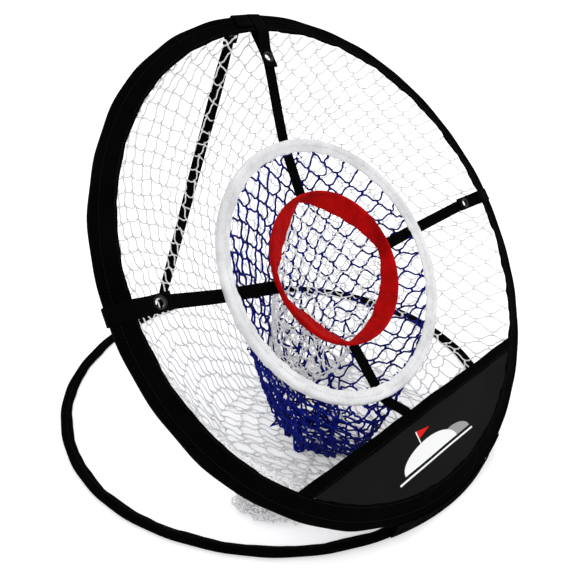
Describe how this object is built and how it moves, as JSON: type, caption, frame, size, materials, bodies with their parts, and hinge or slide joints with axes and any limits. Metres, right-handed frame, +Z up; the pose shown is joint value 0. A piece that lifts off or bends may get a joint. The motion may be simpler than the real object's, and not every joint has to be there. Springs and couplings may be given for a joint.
{
  "type": "golf chipping net",
  "caption": "Pop-up golf chipping target: a spring hoop leaning on a flat floor hoop, with rings on webbing straps and net bags behind them.",
  "frame": {"origin": "on the floor at the middle of the flat hoop", "axes": "+Z up; the target faces -Y, so +Y is behind it; +X is to the right when the target is seen from the front"},
  "size_m": [0.6129, 0.5983, 0.4974],
  "materials": {
    "spring_steel": "satin",
    "ferrule_steel": "satin",
    "eyelet_metal": "satin",
    "black_sleeve": "matt woven polyester",
    "white_sleeve": "matt woven polyester",
    "red_cloth": "matt woven polyester",
    "panel_cloth": "coated woven polyester",
    "black_binding": "matt tape",
    "blue_cord": "twisted cord",
    "white_cord": "twisted cord",
    "black_webbing": "woven webbing"
  },
  "bodies": {
    "base": {"base_hoop_spring_band": "spring_steel", "base_hoop_band_ferrule": "ferrule_steel", "base_hoop_sleeve": "black_sleeve", "hoop_seam_tape": "black_binding", "rear_strap": "black_webbing"},
    "target": {"main_hoop_spring_band": "spring_steel", "main_hoop_band_ferrule": "ferrule_steel", "main_hoop_sleeve": "black_sleeve", "middle_ring_spring_band": "spring_steel", "middle_ring_band_ferrule": "ferrule_steel", "middle_ring_sleeve": "white_sleeve", "inner_ring_spring_band": "spring_steel", "inner_ring_band_ferrule": "ferrule_steel", "inner_ring_sleeve": "red_cloth", "front_panel": "panel_cloth", "panel_binding": "black_binding", "outer_net": "white_cord", "middle_net": "blue_cord", "inner_net": "white_cord", "bottom_strap": "black_webbing", "top_tab": "black_webbing", "top_eyelet": "eyelet_metal", "top_washer": "eyelet_metal", "top_strap": "black_webbing", "right_tab": "black_webbing", "right_eyelet": "eyelet_metal", "right_washer": "eyelet_metal", "right_strap": "black_webbing", "left_tab": "black_webbing", "left_eyelet": "eyelet_metal", "left_washer": "eyelet_metal", "left_strap": "black_webbing", "rear_tab": "black_webbing", "rear_eyelet": "eyelet_metal", "rear_washer": "eyelet_metal"}
  },
  "joints": [
    {"name": "fold", "type": "hinge", "parent": "base", "child": "target", "pos_m": [0, -0.29441, 0.0113], "axis": [-1, 0, 0], "range_deg": [0, 48], "stiffness_Nm_per_rad": 0.9, "springref_deg": -91.67, "deforming": ["outer_net", "middle_net", "inner_net", "rear_strap", "hoop_seam_tape"]}
  ]
}
